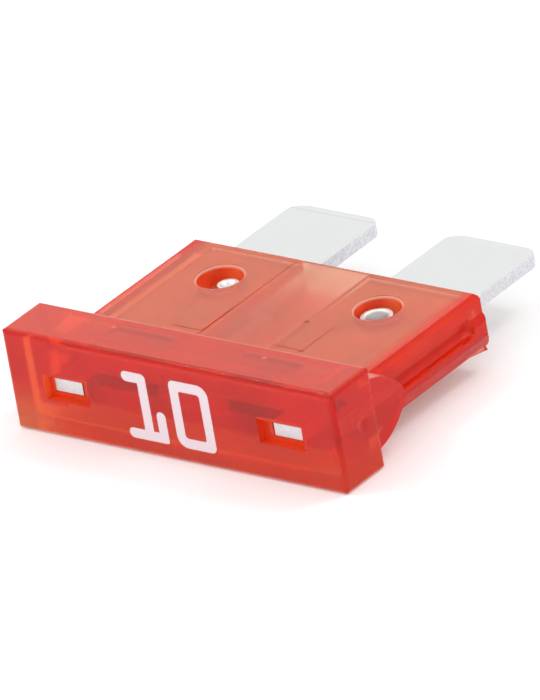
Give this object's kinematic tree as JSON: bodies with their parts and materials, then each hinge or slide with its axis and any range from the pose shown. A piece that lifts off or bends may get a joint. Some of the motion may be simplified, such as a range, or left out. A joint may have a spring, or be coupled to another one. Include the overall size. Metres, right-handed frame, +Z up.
{
  "type": "automotive blade fuse",
  "caption": "Medium blade fuse: translucent red moulded housing with test windows and a printed rating, over a one-piece zinc element with flat blades.",
  "frame": {"origin": "middle of the part in X and Y, on the lower large face of the head", "axes": "+X across the two blades, +Y from the head towards the blade tips, +Z up through the thickness"},
  "size_m": [0.0194, 0.0192, 0.0052],
  "materials": {
    "red_plastic": "translucent, glossy",
    "zinc": "satin, rolled and stamped",
    "white_foil": "satin"
  },
  "bodies": {
    "root": {"housing": "red_plastic", "fuse_element": "zinc", "rating_print": "white_foil"}
  },
  "joints": []
}
